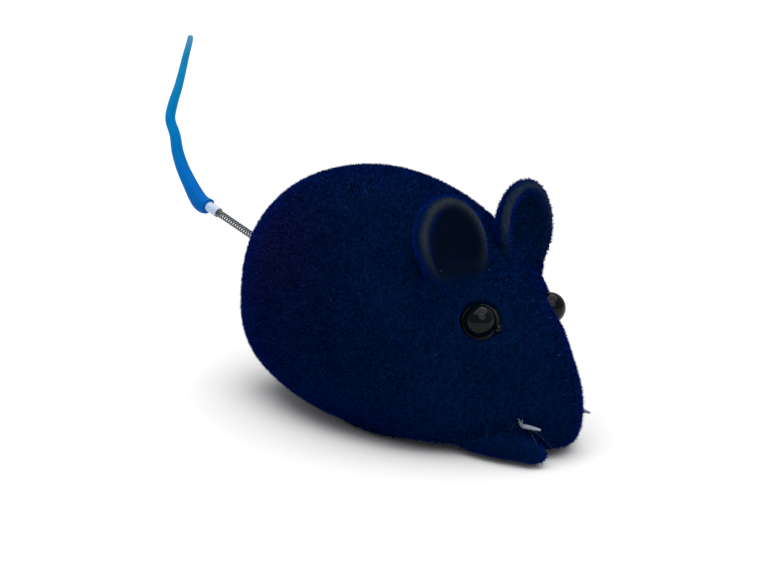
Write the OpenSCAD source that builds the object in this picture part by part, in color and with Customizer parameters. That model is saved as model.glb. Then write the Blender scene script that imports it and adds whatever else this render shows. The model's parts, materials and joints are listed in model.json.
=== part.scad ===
// Wind-up mouse: a flocked soft shell over a clockwork motor, with a sprung tail.
// +X is the nose, +Y is the mouse's left, +Z is up, and z = 0 is the floor. Millimetres.

/* [Body] */
// Length of the shell from rump to nose
body_length = 67.6; // [50:100]
// Height of the back above the floor
body_height = 38.4; // [30:60]
// Greatest width of the shell
body_width = 36.6; // [28:60]
// Position of the rump behind the origin
rump_x = -34.3; // [-60:-20]
// Thickness of the moulded shell
wall = 1.6; // [1:0.1:3]
// Height of the shell's lower edge above the floor
skirt_z = 1.4; // [0.8:0.1:3]
// Roundness of the sections above their widest line
upper_fullness = 2.2; // [1.6:0.1:4]
// Roundness of the sections below their widest line
lower_fullness = 2.5; // [1.6:0.1:4]

/* [Ears] */
// Width of an ear
ear_width = 13.6; // [8:18]
// Height of an ear
ear_height = 14.5; // [10:24]
// Depth of the ear's cup, from rim to back
ear_depth = 3.8; // [2:6]
// Wall of the ear
ear_wall = 2; // [1:0.1:3]
// Outward turn of each ear from straight ahead
ear_turn = 5; // [0:45]
// Backward lean of each ear
ear_lean = 9; // [0:30]
// Outward slant of the ears: sideways shift per height
ear_slant = 0.13; // [0:0.01:0.3]
// Ear centre along the body, as a share of the body length
ear_station = 0.761; // [0.5:0.001:0.9]
// Ear centre from the middle plane, as a share of the half width
ear_offset = 0.46; // [0.2:0.001:0.8]
// Height of the ear centre, as a share of the body height
ear_rise = 0.82; // [0.6:0.001:1]

/* [Eyes] */
// Radius of the bead eye
eye_radius = 2.45; // [1.5:0.05:4]
// Radius of the flange around the bead
eye_ring_radius = 3.1; // [2:0.1:5]
// Thickness of that flange
eye_ring_thickness = 0.8; // [0.4:0.1:1.5]
// Radius of the eye's stem
eye_stem_radius = 0.8; // [0.5:0.1:1.5]
// Eye position along the body, as a share of the body length
eye_station = 0.832; // [0.6:0.002:0.95]
// Eye height, as a share of the body height
eye_rise = 0.526; // [0.3:0.002:0.8]
// Outward turn of the eye's axis from straight ahead
eye_turn = 50; // [20:80]
// Upward tilt of the eye's axis
eye_tilt = 30; // [0:60]
// Depth of the flat the eye sits on, under the shell's surface
eye_seat = 1.5; // [0.4:0.1:1.8]
// Height of an eye's centre above its seat
eye_lift = 1.1; // [0.5:0.1:2.4]
// Height of the right eye above the left
eye_uneven = 1; // [-2:0.1:2]

/* [Feet] */
// Half length of the moulded hind foot
hind_foot_length = 8; // [4:14]
// Half length of the moulded front foot
front_foot_length = 8; // [4:14]
// How far the left front foot stands behind the right one
foot_stagger = 5; // [0:0.5:8]
// Height of the feet's undersides above the floor
foot_clear = 0.3; // [0.2:0.1:2]

/* [Base] */
// Width of the shell's turned-in lip around the base opening
lip = 2.2; // [1:0.1:4]
// Thickness of that lip
lip_thickness = 1.5; // [1:0.1:3]
// Reach of the base flange over the lip
flange_reach = 1; // [0.5:0.1:2]
// Thickness of the base flange
flange_thickness = 1; // [0.6:0.1:2]
// Depth the base stands below the shell's lower edge
plug_drop = 0.1; // [0:0.05:0.5]
// Gap between the base and the shell's opening
base_gap = 0.1; // [0.05:0.05:0.4]

/* [Motor frame] */
// Clear width between the side plates
frame_gap = 8.8; // [7:0.1:14]
// Thickness of a side plate
plate_thickness = 0.6; // [0.4:0.1:1.2]
// Radius of the frame pillars
pillar_radius = 1; // [0.6:0.1:2]
// Radius of the pillars' riveted ends
pillar_tenon = 0.6; // [0.3:0.1:1.2]
// Steel left around each pillar at the plate's edge
plate_margin = 1.7; // [1.2:0.1:3]
// Winding arbor, ahead of the origin
arbor_x = 2; // [-10:10]
// Winding arbor, above the floor
arbor_z = 18.5; // [14:24]
// Running clearance of every shaft in its hole, on the radius
bearing_gap = 0.05; // [0.02:0.01:0.1]

/* [Gears] */
// Gear module
gear_module = 0.45; // [0.35:0.01:0.6]
// Teeth of the great wheel
great_teeth = 48; // [36:60]
// Teeth of the second wheel
second_teeth = 36; // [28:48]
// Teeth of each pinion
pinion_teeth = 10; // [8:14]
// Pressure angle of the teeth
pressure_angle = 25; // [20:28]
// Tooth play, measured along the pitch circle
backlash = 0.12; // [0.05:0.01:0.2]
// Thickness of the great wheel
great_thickness = 0.8; // [0.5:0.1:1.5]
// Thickness of the second wheel
second_thickness = 0.7; // [0.5:0.1:1.5]

/* [Mainspring and winding] */
// Radius of the winding arbor
arbor_radius = 1.2; // [0.8:0.1:2]
// Radius of the arbor's spring collar
collar_radius = 2; // [1.5:0.1:3]
// Thickness of the mainspring strip
strip_thickness = 0.3; // [0.15:0.05:0.5]
// Width of the mainspring strip
strip_width = 3.4; // [2:0.1:5]
// Turns of the mainspring
spring_turns = 6; // [4:9]
// Distance of the spring post from the arbor
post_distance = 9.9; // [8:0.1:12]
// Radius of the spring post
post_radius = 0.8; // [0.5:0.1:1.5]
// Number of ratchet teeth
ratchet_teeth = 12; // [8:16]
// Outer radius of the ratchet wheel
ratchet_radius = 3.4; // [2.8:0.1:4.5]
// Depth of a ratchet tooth
ratchet_depth = 0.7; // [0.4:0.1:1]
// Thickness of the ratchet wheel and click
ratchet_thickness = 0.7; // [0.4:0.1:1.2]
// Distance of the click's rivet from the arbor
click_distance = 6.2; // [5:0.1:8]
// Radius of the click's rivet
rivet_radius = 0.55; // [0.3:0.05:0.8]

/* [Key] */
// Radius of the key's hub
key_hub_radius = 2; // [1.7:0.1:3]
// Length of the key's hub
key_hub_length = 5; // [3:8]
// Radius of each lobe of the bow
key_lobe = 3.9; // [2.5:0.1:6]
// Distance of each lobe's centre from the arbor
key_spread = 4.4; // [3:0.1:7]
// Thickness of the bow
key_thickness = 0.9; // [0.6:0.1:1.5]
// Lean of the bow from upright, towards the tail
key_lean = 30; // [0:90]
// Gap between the key's hub and its bushing
key_gap = 0.3; // [0.1:0.1:1]
// Radius of the key bushing's flange
bushing_flange = 3; // [2.4:0.1:5]
// Radius of the key bushing's barrel
bushing_barrel = 2.2; // [1.7:0.1:3]

/* [Wheels] */
// Radius of the drive tyres, which is also the height of their axle
tyre_radius = 5.4; // [4:0.1:8]
// Thickness of the tyre's rubber
tyre_thickness = 1; // [0.6:0.1:2]
// Width of a drive wheel
wheel_width = 2; // [1.5:0.1:4]
// Gap between a drive wheel and its side plate
wheel_gap = 0.3; // [0.2:0.1:1]
// Radius of the drive axle
axle_radius = 0.9; // [0.6:0.1:1.5]
// Drive axle, ahead of the origin
axle_x = -6; // [-15:5]
// Radius of the second arbor
second_radius = 0.8; // [0.5:0.1:1.2]
// Radius of the front roller, which is also the height of its axle
roller_radius = 4.5; // [3:0.1:6]
// Width of the front roller
roller_width = 4; // [2:0.1:8]
// Front roller, ahead of the origin
roller_x = 17; // [10:25]
// Radius of the front roller's axle
roller_axle_radius = 0.7; // [0.5:0.1:1.2]

/* [Tail] */
// Length of the coil spring at the tail's root
tail_spring_length = 11.9; // [5:15]
// Radius of the coil at the middle of its wire
coil_radius = 0.5; // [0.4:0.05:1]
// Radius of the coil's wire
wire_radius = 0.16; // [0.1:0.01:0.3]
// Distance from one coil to the next
coil_pitch = 0.56; // [0.4:0.02:1]
// Upward slope of the coil
tail_slope = 18; // [0:45]
// Radius of the plug in the rump
tail_plug_radius = 1.3; // [1:0.1:2.5]
// Length of the pale collar between coil and tail
collar_length = 2.7; // [1.5:0.1:5]
// Outer radius of that collar
tail_collar_radius = 0.9; // [0.7:0.05:1.5]
// Radius of the tail where it leaves the collar
tail_base_radius = 1.52; // [0.8:0.05:2.5]
// Height of the tail's tip above its base
tail_rise = 29; // [15:50]

/* [Whiskers] */
// Length of a whisker
whisker_length = 10; // [5:20]
// Radius of a whisker
whisker_radius = 0.12; // [0.08:0.01:0.25]

/* [Hidden] */
$fn = 40;
// The origin lies on the floor under the middle of the whole toy, key and tail included
home = [10.33, -5.36, 0];
eps = 0.01;

// Stations from rump to nose, as shares of the length, height and half width:
// along, back height, belly height, half width, height of the widest line
stations = [
    [0, 0.535, 0.535, 0, 0.535],
    [0.037, 0.675, 0.241, 0.337, 0.37],
    [0.085, 0.786, 0.129, 0.5, 0.344],
    [0.197, 0.924, 0.063, 0.739, 0.323],
    [0.339, 1, 0.005, 0.913, 0.307],
    [0.48, 0.997, -0.021, 1, 0.297],
    [0.621, 0.916, -0.026, 0.989, 0.281],
    [0.74, 0.772, -0.026, 0.885, 0.255],
    [0.839, 0.626, -0.021, 0.617, 0.225],
    [0.921, 0.448, 0, 0.4, 0.195],
    [0.973, 0.3, 0.031, 0.24, 0.167],
    [1, 0.139, 0.139, 0, 0.139]
];
last = len(stations) - 1;
shell_steps = concat([0.12, 0.3, 0.5, 0.75], [for (u = [1:1/3:last - 1]) u],
                     [last - 0.75, last - 0.5, last - 0.3, last - 0.12]);

function catmull(a, b, c, d, t) =
    0.5 * ((2 * b) + (c - a) * t + (2 * a - 5 * b + 4 * c - d) * t * t + (3 * b - a - 3 * c + d) * t * t * t);
function is_end(i) = i == 0 || i == last;
function row(i, inset) =
    let (s = stations[i], mid_x = rump_x + body_length / 2, e = is_end(i) ? 0 : inset,
         shrink = 1 - 2 * inset / body_length)
    [mid_x + (s[0] - 0.5) * body_length * shrink,
     s[1] * body_height - e,
     s[2] * body_height + e,
     s[3] * body_width / 2 - e,
     s[4] * body_height];
function beyond(tip, next) =
    [next[0], 2 * tip[4] - next[1], 2 * tip[4] - next[2], -next[3], 2 * tip[4] - next[4]];
function knot(i, inset) =
    i < 0 ? beyond(row(0, inset), row(1, inset)) :
    i > last ? beyond(row(last, inset), row(last - 1, inset)) : row(i, inset);
function section(u, inset = 0) =
    let (i = min(floor(u), last - 1))
    catmull(knot(i - 1, inset), knot(i, inset), knot(i + 1, inset), knot(i + 2, inset), u - i);
function ring(s, n) =
    [for (k = [0:n - 1])
        let (c = cos(360 * k / n), q = sin(360 * k / n), up = q >= 0,
             e = 2 / (up ? upper_fullness : lower_fullness))
        [s[0], sign(c) * pow(abs(c), e) * s[3],
         s[4] + (up ? s[1] - s[4] : s[4] - s[2]) * sign(q) * pow(abs(q), e)]];
// Half width of a section at a height
function half_at(s, z) =
    let (t = z > s[4] ? (z - s[4]) / (s[1] - s[4]) : (s[4] - z) / (s[4] - s[2]),
         f = z > s[4] ? upper_fullness : lower_fullness)
    t >= 1 ? 0 : s[3] * pow(1 - pow(t, f), 1 / f);
station_of = [for (u = [0.1:0.1:last - 0.1]) [section(u)[0], u]];
function section_at(x, inset = 0) = section(lookup(x, station_of), inset);
function flank(x, z) = half_at(section_at(x), z);

// Heights of the base
lip_top = skirt_z + lip_thickness;
plug_z = skirt_z - plug_drop;
deck_z = lip_top + flange_thickness;

// Shaft centres in the XZ plane: the second arbor meshes with both its neighbours
great_pitch = gear_module * great_teeth / 2;
second_pitch = gear_module * second_teeth / 2;
pinion_pitch = gear_module * pinion_teeth / 2;
great_reach = great_pitch + pinion_pitch;
second_reach = second_pitch + pinion_pitch;
arbor_at = [arbor_x, arbor_z];
axle_at = [axle_x, tyre_radius];
span = norm(axle_at - arbor_at);
along_span = (great_reach * great_reach - second_reach * second_reach + span * span) / (2 * span);
beside_span = sqrt(max(0, great_reach * great_reach - along_span * along_span));
span_dir = (axle_at - arbor_at) / span;
second_at = arbor_at + along_span * span_dir + beside_span * [span_dir[1], -span_dir[0]];
great_mesh = atan2(second_at[1] - arbor_at[1], second_at[0] - arbor_at[0]);
second_mesh = atan2(axle_at[1] - second_at[1], axle_at[0] - second_at[0]);

// Pillars stand clear of the wheels they are beside
wheel_clear = great_pitch + gear_module + pillar_radius + 0.5;
rear_pillar_at = second_at + (second_pitch + gear_module + pillar_radius + 0.6) * [cos(150), sin(150)];
top_pillar_at = arbor_at + (wheel_clear + 0.6) * [cos(126), sin(126)];
upper_front_pillar_at = arbor_at + (wheel_clear + 0.3) * [cos(27), sin(27)];
lower_front_pillar_at = arbor_at + (wheel_clear + 0.9) * [cos(-46), sin(-46)];
pillars_at = [rear_pillar_at, top_pillar_at, upper_front_pillar_at, lower_front_pillar_at];
post_at = arbor_at + post_distance * [cos(120), sin(120)];

// Layers across the motor, from the right side plate to the left
half_gap = frame_gap / 2;
plate_out = half_gap + plate_thickness;
second_y = -half_gap + 0.4;
strip_y = second_y + second_thickness + 0.5;
great_y = strip_y + strip_width + 0.6;
ratchet_y = great_y + great_thickness + 0.1;
wheel_in = plate_out + wheel_gap;
wheel_out = wheel_in + wheel_width;

// Feet of the side plates, staked to the base
front_stake_x = arbor_x + 5;
rear_stake_x = axle_x - 7.2;
stake_y = 2.6;
stake_radius = 0.7;
foot_half = 1.5;

// Key and its bushing on the left flank
flank_y = flank(arbor_x, arbor_z);
bushing_seat = flank_y - 0.5;
bushing_face = bushing_seat + 1;
key_y = bushing_face + key_gap;
bow_y = key_y + key_hub_length - 1 + key_lobe * 0.6;

// Click and ratchet: the click's tip stands in a tooth's gullet
tip_angle = 60;
click_angle = 20;
click_at = arbor_at + click_distance * [cos(click_angle), sin(click_angle)];
tip_radius = ratchet_radius - ratchet_depth + 0.12;
tip_at = arbor_at + tip_radius * [cos(tip_angle - 3), sin(tip_angle - 3)];
click_heading = atan2(tip_at[1] - click_at[1], tip_at[0] - click_at[0]);
click_length = norm(tip_at - click_at);

// Tail: the coil leaves the rump, then the collar, then the rubber tail
tail_root_z = body_height * 0.583;
tail_root = [rump_x + 0.9, 0, tail_root_z];
tail_dir = [-cos(tail_slope), 0, sin(tail_slope)];
coil_middle = tail_root + (tail_spring_length / 2 + 0.6) * tail_dir;
// Stations of the tail: backward and upward share of its rise, radius share
tail_stations = [
    [0, 0, 0.9],
    [0.05, 0.004, 1],
    [0.098, 0.035, 0.97],
    [0.171, 0.121, 0.84],
    [0.234, 0.21, 0.76],
    [0.274, 0.3, 0.7],
    [0.292, 0.394, 0.64],
    [0.333, 0.485, 0.6],
    [0.304, 0.582, 0.57],
    [0.254, 0.681, 0.5],
    [0.213, 0.779, 0.45],
    [0.176, 0.875, 0.4],
    [0.136, 0.97, 0.35],
    [0.13, 1, 0.31]
];

// Eyes
eye_x = rump_x + body_length * eye_station;
eye_z = body_height * eye_rise;
function eye_height(side) = eye_z - side * eye_uneven / 2;

// Ears
ear_x = rump_x + body_length * ear_station;
ear_y = body_width / 2 * ear_offset;
ear_z = body_height * ear_rise;

// Whisker roots on the lower muzzle
whisker_x = rump_x + body_length * 0.936;
whisker_z = body_height * 0.145;
whisker_y = flank(whisker_x, whisker_z);

/* ---------- shared shapes ---------- */

// A shape drawn as (x, z), filled from y0 to y1
module across(y0, y1) {
    translate([0, y1, 0])
        rotate([90, 0, 0])
            linear_extrude(y1 - y0)
                children();
}

// A round bar across the body from y0 to y1, at a point (x, z)
module bar(at, r, y0, y1) {
    translate([at[0], y1, at[1]])
        rotate([90, 0, 0])
            cylinder(h = y1 - y0, r = r);
}

// A closed skin over a list of rings with one point beyond each end
module skin(rings, first, final) {
    n = len(rings[0]);
    m = len(rings);
    points = concat([first], [for (r = rings) each r], [final]);
    faces = concat(
        [for (k = [0:n - 1]) [0, 1 + k, 1 + (k + 1) % n]],
        [for (i = [0:m - 2]) for (k = [0:n - 1])
            [1 + i * n + k, 1 + (i + 1) * n + k, 1 + (i + 1) * n + (k + 1) % n]],
        [for (i = [0:m - 2]) for (k = [0:n - 1])
            [1 + i * n + k, 1 + (i + 1) * n + (k + 1) % n, 1 + i * n + (k + 1) % n]],
        [for (k = [0:n - 1]) [1 + m * n, 1 + (m - 1) * n + (k + 1) % n, 1 + (m - 1) * n + k]]);
    polyhedron(points, faces, convexity = 6);
}

module body_form(inset, n) {
    a = section(0, inset);
    b = section(last, inset);
    skin([for (u = shell_steps) ring(section(u, inset), n)], [a[0], 0, a[4]], [b[0], 0, b[4]]);
}

// Outline of the base opening, grown by an amount
module opening(grow) {
    edge = [for (u = [1:1/3:last - 1])
        let (s = section(u), h = half_at(s, skirt_z) - lip)
        if (h > 3) [s[0], h]];
    m = len(edge) - 1;
    rim = [for (i = [0:m]) [edge[i][0] + (i == 0 ? -grow : i == m ? grow : 0), edge[i][1] + grow]];
    polygon(concat(rim, [for (i = [m:-1:0]) [rim[i][0], -rim[i][1]]]));
}

// Places things on an eye's axis: z runs outward, z = 0 is the seat
module eye_place(side) {
    translate([eye_x, side * flank(eye_x, eye_height(side)), eye_height(side)])
        rotate([0, 0, side * eye_turn])
            rotate([0, 90 - eye_tilt, 0])
                translate([0, 0, -eye_seat])
                    children();
}

module tail_place(distance) {
    translate(tail_root + distance * tail_dir)
        rotate([0, -90 + tail_slope, 0])
            children();
}

/* ---------- gear teeth ---------- */

function involute(base, r) = let (c = min(1, base / r)) tan(acos(c)) * 180 / PI - acos(c);
// Half angle of a tooth at a radius
function tooth_half(pitch, base, teeth, r) =
    90 / teeth - backlash / pitch * 45 / PI + involute(base, pitch) - involute(base, r);

module gear_outline(teeth, turn, addendum) {
    pitch = gear_module * teeth / 2;
    base = pitch * cos(pressure_angle);
    root = pitch - gear_module * 1.2;
    tip = pitch + gear_module * addendum;
    low = max(base, root + 0.02);
    radii = [for (k = [0:3]) low + (tip - low) * k / 3];
    foot = tooth_half(pitch, base, teeth, low) * (root < base ? 0.8 : 1.1);
    one = concat([[root, -foot]], [for (r = radii) [r, -tooth_half(pitch, base, teeth, r)]],
                 [for (k = [3:-1:0]) [radii[k], tooth_half(pitch, base, teeth, radii[k])]], [[root, foot]]);
    polygon([for (i = [0:teeth - 1]) for (p = one)
        let (a = turn + 360 * i / teeth + p[1]) [p[0] * cos(a), p[0] * sin(a)]]);
}

module gear(at, teeth, turn, addendum, bore, y0, y1) {
    difference() {
        translate([at[0], 0, at[1]])
            across(y0, y1)
                gear_outline(teeth, turn, addendum);
        bar(at, bore, y0 - 1, y1 + 1);
    }
}

/* ---------- shell ---------- */

// Half an ellipsoid below z = 0, with its rim rolled a little above it
module ear_dome() {
    rim = ear_width / 2;
    scale([ear_height / ear_width, 1, 1])
        rotate_extrude($fn = 40)
            polygon(concat(
                [for (t = [0:10:80]) [rim * sin(t), -ear_depth * cos(t)]],
                [[rim, -0.4], [rim - 0.2, 0.15], [rim - ear_wall / 2, 0.4], [rim - ear_wall, 0.2],
                 [0, 0.2]]));
}

// The hollow reaches past the ear's foot, so the rim runs out into the head on both sides
module ear_bowl() {
    top = ear_height / 2 - ear_wall;
    foot = ear_height / 2 + 0.6;
    translate([(foot - top) / 2, 0, 0.2])
        scale([(foot + top) / 2, ear_width / 2 - ear_wall, ear_depth - 1.2])
            sphere(r = 1, $fn = 40);
}

module ear(side) {
    translate([ear_x, side * ear_y, ear_z])
        rotate([0, 0, side * ear_turn])
            rotate([0, 90 - ear_lean, 0])
                multmatrix([[1, 0, 0, 0], [-side * ear_slant, 1, 0, 0], [0, 0, 1, 0]])
                    difference() {
                        ear_dome();
                        ear_bowl();
                    }
    // the thick root that joins the ear to the head
    translate([ear_x - 1.5, side * ear_y, ear_z - ear_height * 0.46])
        rotate([0, 0, side * ear_turn])
            scale([2.3, ear_width * 0.37, 4.2])
                sphere(r = 1, $fn = 24);
}

module foot(at, turn, size) {
    translate([at[0], at[1], foot_clear + size[2]])
        rotate([0, 0, turn])
            scale(size)
                sphere(r = 1, $fn = 24);
}

module feet(side) {
    hind_x = rump_x + body_length * 0.58;
    front_x = rump_x + body_length * 0.885 - (side > 0 ? foot_stagger : 0);
    foot([hind_x, side * body_width * 0.318], 0, [hind_foot_length, 2.5, 1.9]);
    foot([front_x, side * body_width * 0.215], -side * 8, [front_foot_length, 2.5, 2]);
    foot([front_x + front_foot_length * 0.7, side * body_width * 0.19], -side * 12, [2.4, 1.9, 1.4]);
}

module body_shell() {
    color([0.01, 0.05, 0.22]) translate(home)
        difference() {
            union() {
                intersection() {
                    body_form(0, 40);
                    translate([-100, -100, skirt_z])
                        cube([200, 200, 100]);
                }
                feet(1);
                feet(-1);
                ear(1);
                ear(-1);
            }
            intersection() {
                body_form(wall, 32);
                translate([-100, -100, lip_top])
                    cube([200, 200, 100]);
            }
            translate([0, 0, -1])
                linear_extrude(lip_top + 2)
                    opening(0);
            translate([0, 0, lip_top])
                linear_extrude(flange_thickness + base_gap)
                    opening(flange_reach + base_gap);
            bar([arbor_x, arbor_z], bushing_barrel + base_gap, half_gap, flank_y + 3);
            bar([arbor_x, arbor_z], bushing_flange + base_gap, bushing_seat, flank_y + 3);
            tail_place(-4)
                cylinder(h = 8, r = tail_plug_radius);
            for (side = [-1, 1])
                eye_place(side) {
                    cylinder(h = 5, r = eye_ring_radius);
                    translate([0, 0, -4])
                        cylinder(h = 5, r = eye_stem_radius);
                }
        }
}

/* ---------- base ---------- */

module base_plate() {
    slot_half = sqrt(tyre_radius * tyre_radius - pow(tyre_radius - deck_z, 2)) + 0.8;
    roller_half = sqrt(roller_radius * roller_radius - pow(max(0, roller_radius - deck_z), 2)) + 0.6;
    color([0.09, 0.09, 0.1]) translate(home)
        difference() {
            union() {
                translate([0, 0, plug_z])
                    linear_extrude(lip_top - plug_z + eps)
                        opening(-base_gap);
                translate([0, 0, lip_top])
                    linear_extrude(flange_thickness)
                        opening(flange_reach);
                // forks for the front roller's axle
                for (side = [-1, 1])
                    translate([roller_x - 1.8, side * (roller_width / 2 + 1) - 0.6, plug_z + 1])
                        cube([3.6, 1.2, roller_radius + roller_axle_radius + 0.9 - plug_z - 1]);
                // stakes that hold the side plates' feet
                for (x = [front_stake_x, rear_stake_x])
                    for (side = [-1, 1])
                        translate([x, side * stake_y, deck_z - 1]) {
                            cylinder(h = 1 + plate_thickness + 0.5, r = stake_radius);
                            translate([0, 0, 1 + plate_thickness])
                                cylinder(h = 0.5, r1 = stake_radius + 0.5, r2 = stake_radius + 0.2);
                        }
            }
            for (side = [-1, 1])
                translate([axle_x - slot_half, side * (wheel_in + wheel_out) / 2 - wheel_width / 2 - 0.3, 0])
                    cube([2 * slot_half, wheel_width + 0.6, 10]);
            translate([axle_x - pinion_pitch - 1.2, -half_gap, deck_z - 1.8])
                cube([2 * pinion_pitch + 2.4, 2 * half_gap, 10]);
            translate([roller_x - roller_half, -roller_width / 2 - 0.4, 0])
                cube([2 * roller_half, roller_width + 0.8, 20]);
            bar([roller_x, roller_radius], roller_axle_radius, -roller_width, roller_width);
        }
}

/* ---------- motor frame ---------- */

module plate_outline() {
    m = plate_margin;
    polygon([
        [rear_pillar_at[0] - m, rear_pillar_at[1] + m],
        [rear_pillar_at[0] - m, rear_pillar_at[1] - 4],
        [rear_stake_x - foot_half - 0.5, deck_z],
        [front_stake_x + foot_half + 0.5, deck_z],
        [lower_front_pillar_at[0] + m, lower_front_pillar_at[1] - m],
        [upper_front_pillar_at[0] + m, upper_front_pillar_at[1]],
        [upper_front_pillar_at[0], upper_front_pillar_at[1] + m],
        [top_pillar_at[0] + m, top_pillar_at[1] + m],
        [top_pillar_at[0] - m, top_pillar_at[1] + m]
    ]);
}

module side_plate(side) {
    inner = side > 0 ? half_gap : -plate_out;
    difference() {
        union() {
            across(inner, inner + plate_thickness)
                plate_outline();
            for (x = [front_stake_x, rear_stake_x])
                translate([x - foot_half, side > 0 ? 1.2 : -half_gap - eps, deck_z])
                    cube([2 * foot_half, half_gap - 1.2 + eps, plate_thickness]);
        }
        bar(arbor_at, arbor_radius + bearing_gap, inner - 1, inner + 2);
        bar(second_at, second_radius + bearing_gap, inner - 1, inner + 2);
        bar(axle_at, axle_radius + bearing_gap, inner - 1, inner + 2);
        for (p = pillars_at)
            bar(p, pillar_tenon, inner - 1, inner + 2);
        if (side < 0)
            bar(post_at, pillar_tenon, inner - 1, inner + 2);
        for (x = [front_stake_x, rear_stake_x])
            translate([x, side * stake_y, deck_z - 1])
                cylinder(h = 3, r = stake_radius);
    }
}

module right_side_plate() {
    color([0.62, 0.62, 0.64]) translate(home)
        side_plate(-1);
}

module left_side_plate() {
    color([0.62, 0.62, 0.64]) translate(home)
        side_plate(1);
}

module pillar(at) {
    color([0.7, 0.68, 0.6]) translate(home) {
        bar(at, pillar_radius, -half_gap, half_gap);
        bar(at, pillar_tenon, -plate_out - 0.3, plate_out + 0.3);
    }
}

module rear_pillar() {
    pillar(rear_pillar_at);
}

module top_pillar() {
    pillar(top_pillar_at);
}

module upper_front_pillar() {
    pillar(upper_front_pillar_at);
}

module lower_front_pillar() {
    pillar(lower_front_pillar_at);
}

module spring_post() {
    color([0.7, 0.68, 0.6]) translate(home) {
        bar(post_at, post_radius, -half_gap, strip_y + strip_width + 0.1);
        bar(post_at, pillar_tenon, -plate_out - 0.3, -half_gap + 1);
    }
}

/* ---------- mainspring and winding ---------- */

module mainspring() {
    r0 = collar_radius + strip_thickness / 2 + 0.02;
    r1 = post_distance - post_radius - strip_thickness / 2 - 0.02;
    steps = spring_turns * 20;
    path = [for (i = [0:steps])
        let (a = 120 + 360 * spring_turns * (i / steps - 1)) [r0 + (r1 - r0) * i / steps, a]];
    side_a = [for (p = path) (p[0] + strip_thickness / 2) * [cos(p[1]), sin(p[1])]];
    side_b = [for (i = [steps:-1:0]) (path[i][0] - strip_thickness / 2) * [cos(path[i][1]), sin(path[i][1])]];
    color([0.33, 0.37, 0.45]) translate(home)
        translate([arbor_x, 0, arbor_z])
            across(strip_y, strip_y + strip_width)
                polygon(concat(side_a, side_b));
}

module winding_arbor() {
    color([0.66, 0.66, 0.68]) translate(home) {
        bar(arbor_at, arbor_radius, -plate_out - 0.5, key_y + key_hub_length - 0.8);
        bar(arbor_at, collar_radius, strip_y - 0.15, strip_y + strip_width + 0.3);
        bar(arbor_at, collar_radius, ratchet_y + ratchet_thickness, half_gap - 0.2);
    }
}

module ratchet_wheel() {
    // each tooth falls from its tip to the gullet, then rises steeply to the next tip
    color([0.72, 0.66, 0.45]) translate(home)
        difference() {
            translate([arbor_x, 0, arbor_z])
                across(ratchet_y, ratchet_y + ratchet_thickness)
                    polygon([for (i = [0:ratchet_teeth - 1]) for (share = [0, 1/3, 2/3, 0.99])
                        let (a = tip_angle + 360 * (i + share) / ratchet_teeth)
                        (ratchet_radius - ratchet_depth * share) * [cos(a), sin(a)]]);
            bar(arbor_at, arbor_radius, ratchet_y - 1, ratchet_y + ratchet_thickness + 1);
        }
}

module winding_key() {
    color([0.78, 0.78, 0.8]) translate(home)
        difference() {
            union() {
                bar(arbor_at, key_hub_radius, key_y, key_y + key_hub_length);
                translate([arbor_x, bow_y, arbor_z])
                    rotate([0, -key_lean, 0])
                        for (s = [-1, 1])
                            translate([-key_thickness / 2, 0, s * key_spread])
                                rotate([0, 90, 0])
                                    cylinder(h = key_thickness, r = key_lobe);
            }
            bar(arbor_at, arbor_radius, key_y - 1, key_y + key_hub_length - 0.8);
            translate([arbor_x, bow_y, arbor_z])
                rotate([0, -key_lean, 0])
                    for (s = [-1, 1])
                        translate([-5, 0, s * key_spread * 1.15])
                            rotate([0, 90, 0])
                                cylinder(h = 10, r = key_lobe * 0.42);
        }
}

module key_bushing() {
    color([0.74, 0.62, 0.32]) translate(home)
        difference() {
            union() {
                bar(arbor_at, bushing_flange, bushing_seat, bushing_face);
                bar(arbor_at, bushing_barrel, bushing_seat - 3, bushing_seat + eps);
            }
            bar(arbor_at, arbor_radius + bearing_gap, bushing_seat - 4, bushing_face + 1);
        }
}

/* ---------- gear train ---------- */

module great_wheel() {
    color([0.76, 0.62, 0.3]) translate(home)
        difference() {
            gear(arbor_at, great_teeth, great_mesh, 0.85, arbor_radius + bearing_gap,
                 great_y, great_y + great_thickness);
            bar(click_at, rivet_radius, great_y - 1, great_y + great_thickness + 1);
            for (a = [110:50:310])
                bar(arbor_at + great_pitch * 0.62 * [cos(a), sin(a)], great_pitch * 0.155,
                    great_y - 1, great_y + great_thickness + 1);
        }
}

module click() {
    color([0.66, 0.66, 0.68]) translate(home)
        difference() {
            union() {
                bar(click_at, rivet_radius * 2.2, ratchet_y, ratchet_y + ratchet_thickness);
                translate([click_at[0], 0, click_at[1]])
                    across(ratchet_y, ratchet_y + ratchet_thickness)
                        rotate(click_heading)
                            polygon([[0, 0.9], [0, -0.9], [click_length - 0.6, -0.62],
                                     [click_length - 0.1, 0], [click_length - 1.1, -0.05]]);
            }
            bar(click_at, rivet_radius + bearing_gap, ratchet_y - 1, ratchet_y + ratchet_thickness + 1);
        }
}

module click_rivet() {
    color([0.76, 0.62, 0.3]) translate(home) {
        bar(click_at, rivet_radius, great_y - 0.25, ratchet_y + ratchet_thickness + 0.1);
        bar(click_at, rivet_radius * 1.8, ratchet_y + ratchet_thickness + 0.05,
            ratchet_y + ratchet_thickness + 0.4);
        bar(click_at, rivet_radius * 1.8, great_y - 0.25, great_y);
    }
}

module click_spring() {
    rest = click_length * 0.62;
    lug = 0.9;
    color([0.33, 0.37, 0.45]) translate(home)
        translate([click_at[0], 0, click_at[1]]) {
            across(ratchet_y + 0.05, ratchet_y + ratchet_thickness - 0.1)
                rotate(click_heading) {
                    polygon([[rest, -0.76], [rest, -0.96], [-1.6, -3.2], [-1.6, -2.95]]);
                    translate([-2.2, -3.3])
                        square(lug);
                }
            across(great_y + great_thickness, ratchet_y + 0.1)
                rotate(click_heading)
                    translate([-2.2, -3.3])
                        square(lug);
        }
}

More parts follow.
